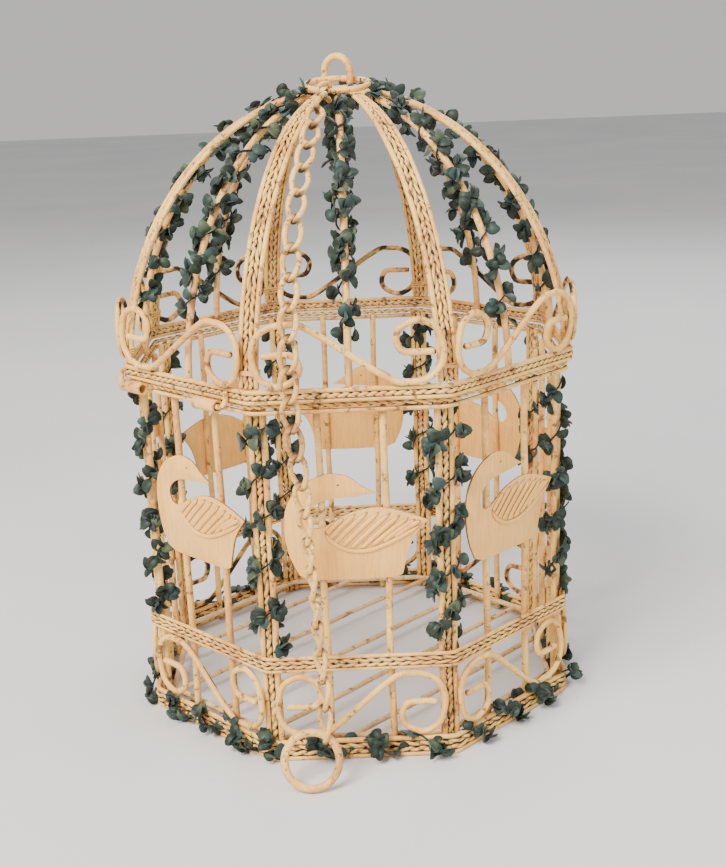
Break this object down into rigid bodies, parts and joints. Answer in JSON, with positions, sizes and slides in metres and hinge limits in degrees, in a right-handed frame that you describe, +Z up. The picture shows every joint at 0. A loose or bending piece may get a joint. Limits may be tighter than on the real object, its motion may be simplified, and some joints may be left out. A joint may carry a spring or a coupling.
{
  "type": "wire birdcage card holder",
  "caption": "Octagonal wire birdcage card box with sheet swans, scrollwork, a hinged dome lid, leafy garlands and a ring on a chain.",
  "frame": {"origin": "the middle of the cage's base, on the surface it stands on", "axes": "+Z up; -Y towards the front face; +X to the right seen from the front; the hinge is on the left front face"},
  "size_m": [0.249, 0.2787, 0.362],
  "materials": {
    "wirework": "aged cream paint on steel wire, satin, brown in the hollows",
    "sheet_swans": "buff paint on thin pressed sheet, satin with a fine streaky grain",
    "chain": "cream paint on a twisted link chain, rubbed pinkish tan",
    "hinges": "pinkish cream paint on rolled sheet, satin",
    "leaves": "dark green, teal and sage artificial leaves on a thin stem, dull"
  },
  "bodies": {
    "cage": {"bottom_rail": "wirework", "waist_rail": "wirework", "body_top_rail": "wirework", "floor_grid": "wirework", "corner_post_1": "wirework", "corner_post_2": "wirework", "corner_post_3": "wirework", "corner_post_4": "wirework", "corner_post_5": "wirework", "corner_post_6": "wirework", "corner_post_7": "wirework", "corner_post_8": "wirework", "swan_panel_1": "sheet_swans", "swan_panel_2": "sheet_swans", "swan_panel_3": "sheet_swans", "swan_panel_4": "sheet_swans", "swan_panel_5": "sheet_swans", "swan_panel_6": "sheet_swans", "swan_panel_7": "sheet_swans", "swan_panel_8": "sheet_swans", "lower_scroll_1": "wirework", "lower_scroll_2": "wirework", "lower_scroll_3": "wirework", "lower_scroll_4": "wirework", "lower_scroll_5": "wirework", "lower_scroll_6": "wirework", "lower_scroll_7": "wirework", "lower_scroll_8": "wirework", "hinge_barrel_left": "hinges", "hinge_barrel_right": "hinges", "body_garland": "leaves"},
    "lid": {"lid_rail": "wirework", "corner_rib_1": "wirework", "corner_rib_2": "wirework", "corner_rib_3": "wirework", "corner_rib_4": "wirework", "corner_rib_5": "wirework", "corner_rib_6": "wirework", "corner_rib_7": "wirework", "corner_rib_8": "wirework", "mid_ribs": "wirework", "upper_scroll_1": "wirework", "upper_scroll_2": "wirework", "upper_scroll_3": "wirework", "upper_scroll_4": "wirework", "upper_scroll_5": "wirework", "upper_scroll_6": "wirework", "upper_scroll_7": "wirework", "upper_scroll_8": "wirework", "hanging_loop": "wirework", "hinge_pintle_left": "hinges", "hinge_pintle_right": "hinges", "dome_garland": "leaves"},
    "apex_ring": {"apex_ring": "wirework"},
    "chain_upper": {"chain_upper": "chain"},
    "chain_middle": {"chain_middle": "chain"},
    "chain_lower": {"chain_lower": "chain"},
    "end_ring": {"end_ring": "chain"}
  },
  "joints": [
    {"name": "lid_hinge", "type": "hinge", "parent": "cage", "child": "lid", "pos_m": [-0.08924, -0.08924, 0.1952], "axis": [0.7071, -0.7071, 0], "range_deg": [0, 100]},
    {"name": "ring_swing", "type": "hinge", "parent": "lid", "child": "apex_ring", "pos_m": [0, 0.004, 0.3482], "axis": [-1, 0, 0], "range_deg": [0, 12]},
    {"name": "chain_hang", "type": "hinge", "parent": "apex_ring", "child": "chain_upper", "pos_m": [-0.00474, -0.0293, 0.343], "axis": [-0.5257, 0.815, -0.2438], "range_deg": [0, 70]},
    {"name": "chain_knee", "type": "hinge", "parent": "chain_upper", "child": "chain_middle", "pos_m": [-0.02896, -0.1327, 0.21551], "axis": [0.9561, -0.2884, 0.0523], "range_deg": [-43, 0]},
    {"name": "chain_fold", "type": "hinge", "parent": "chain_middle", "child": "chain_lower", "pos_m": [-0.02375, -0.13149, 0.12703], "axis": [-0.9986, 0.0003, -0.0534], "range_deg": [0, 82]},
    {"name": "end_ring_swing", "type": "hinge", "parent": "chain_lower", "child": "end_ring", "pos_m": [-0.0191, -0.1407, 0.026], "axis": [-0.8535, 0.2282, 0.4685], "range_deg": [-32, 0]}
  ],
  "couplings": [
    {"joint": "chain_hang", "follows": "lid_hinge", "ratio": 0.68631},
    {"joint": "chain_knee", "follows": "lid_hinge", "ratio": -0.41418},
    {"joint": "chain_fold", "follows": "lid_hinge", "ratio": 0.795},
    {"joint": "end_ring_swing", "follows": "lid_hinge", "ratio": -0.235}
  ]
}
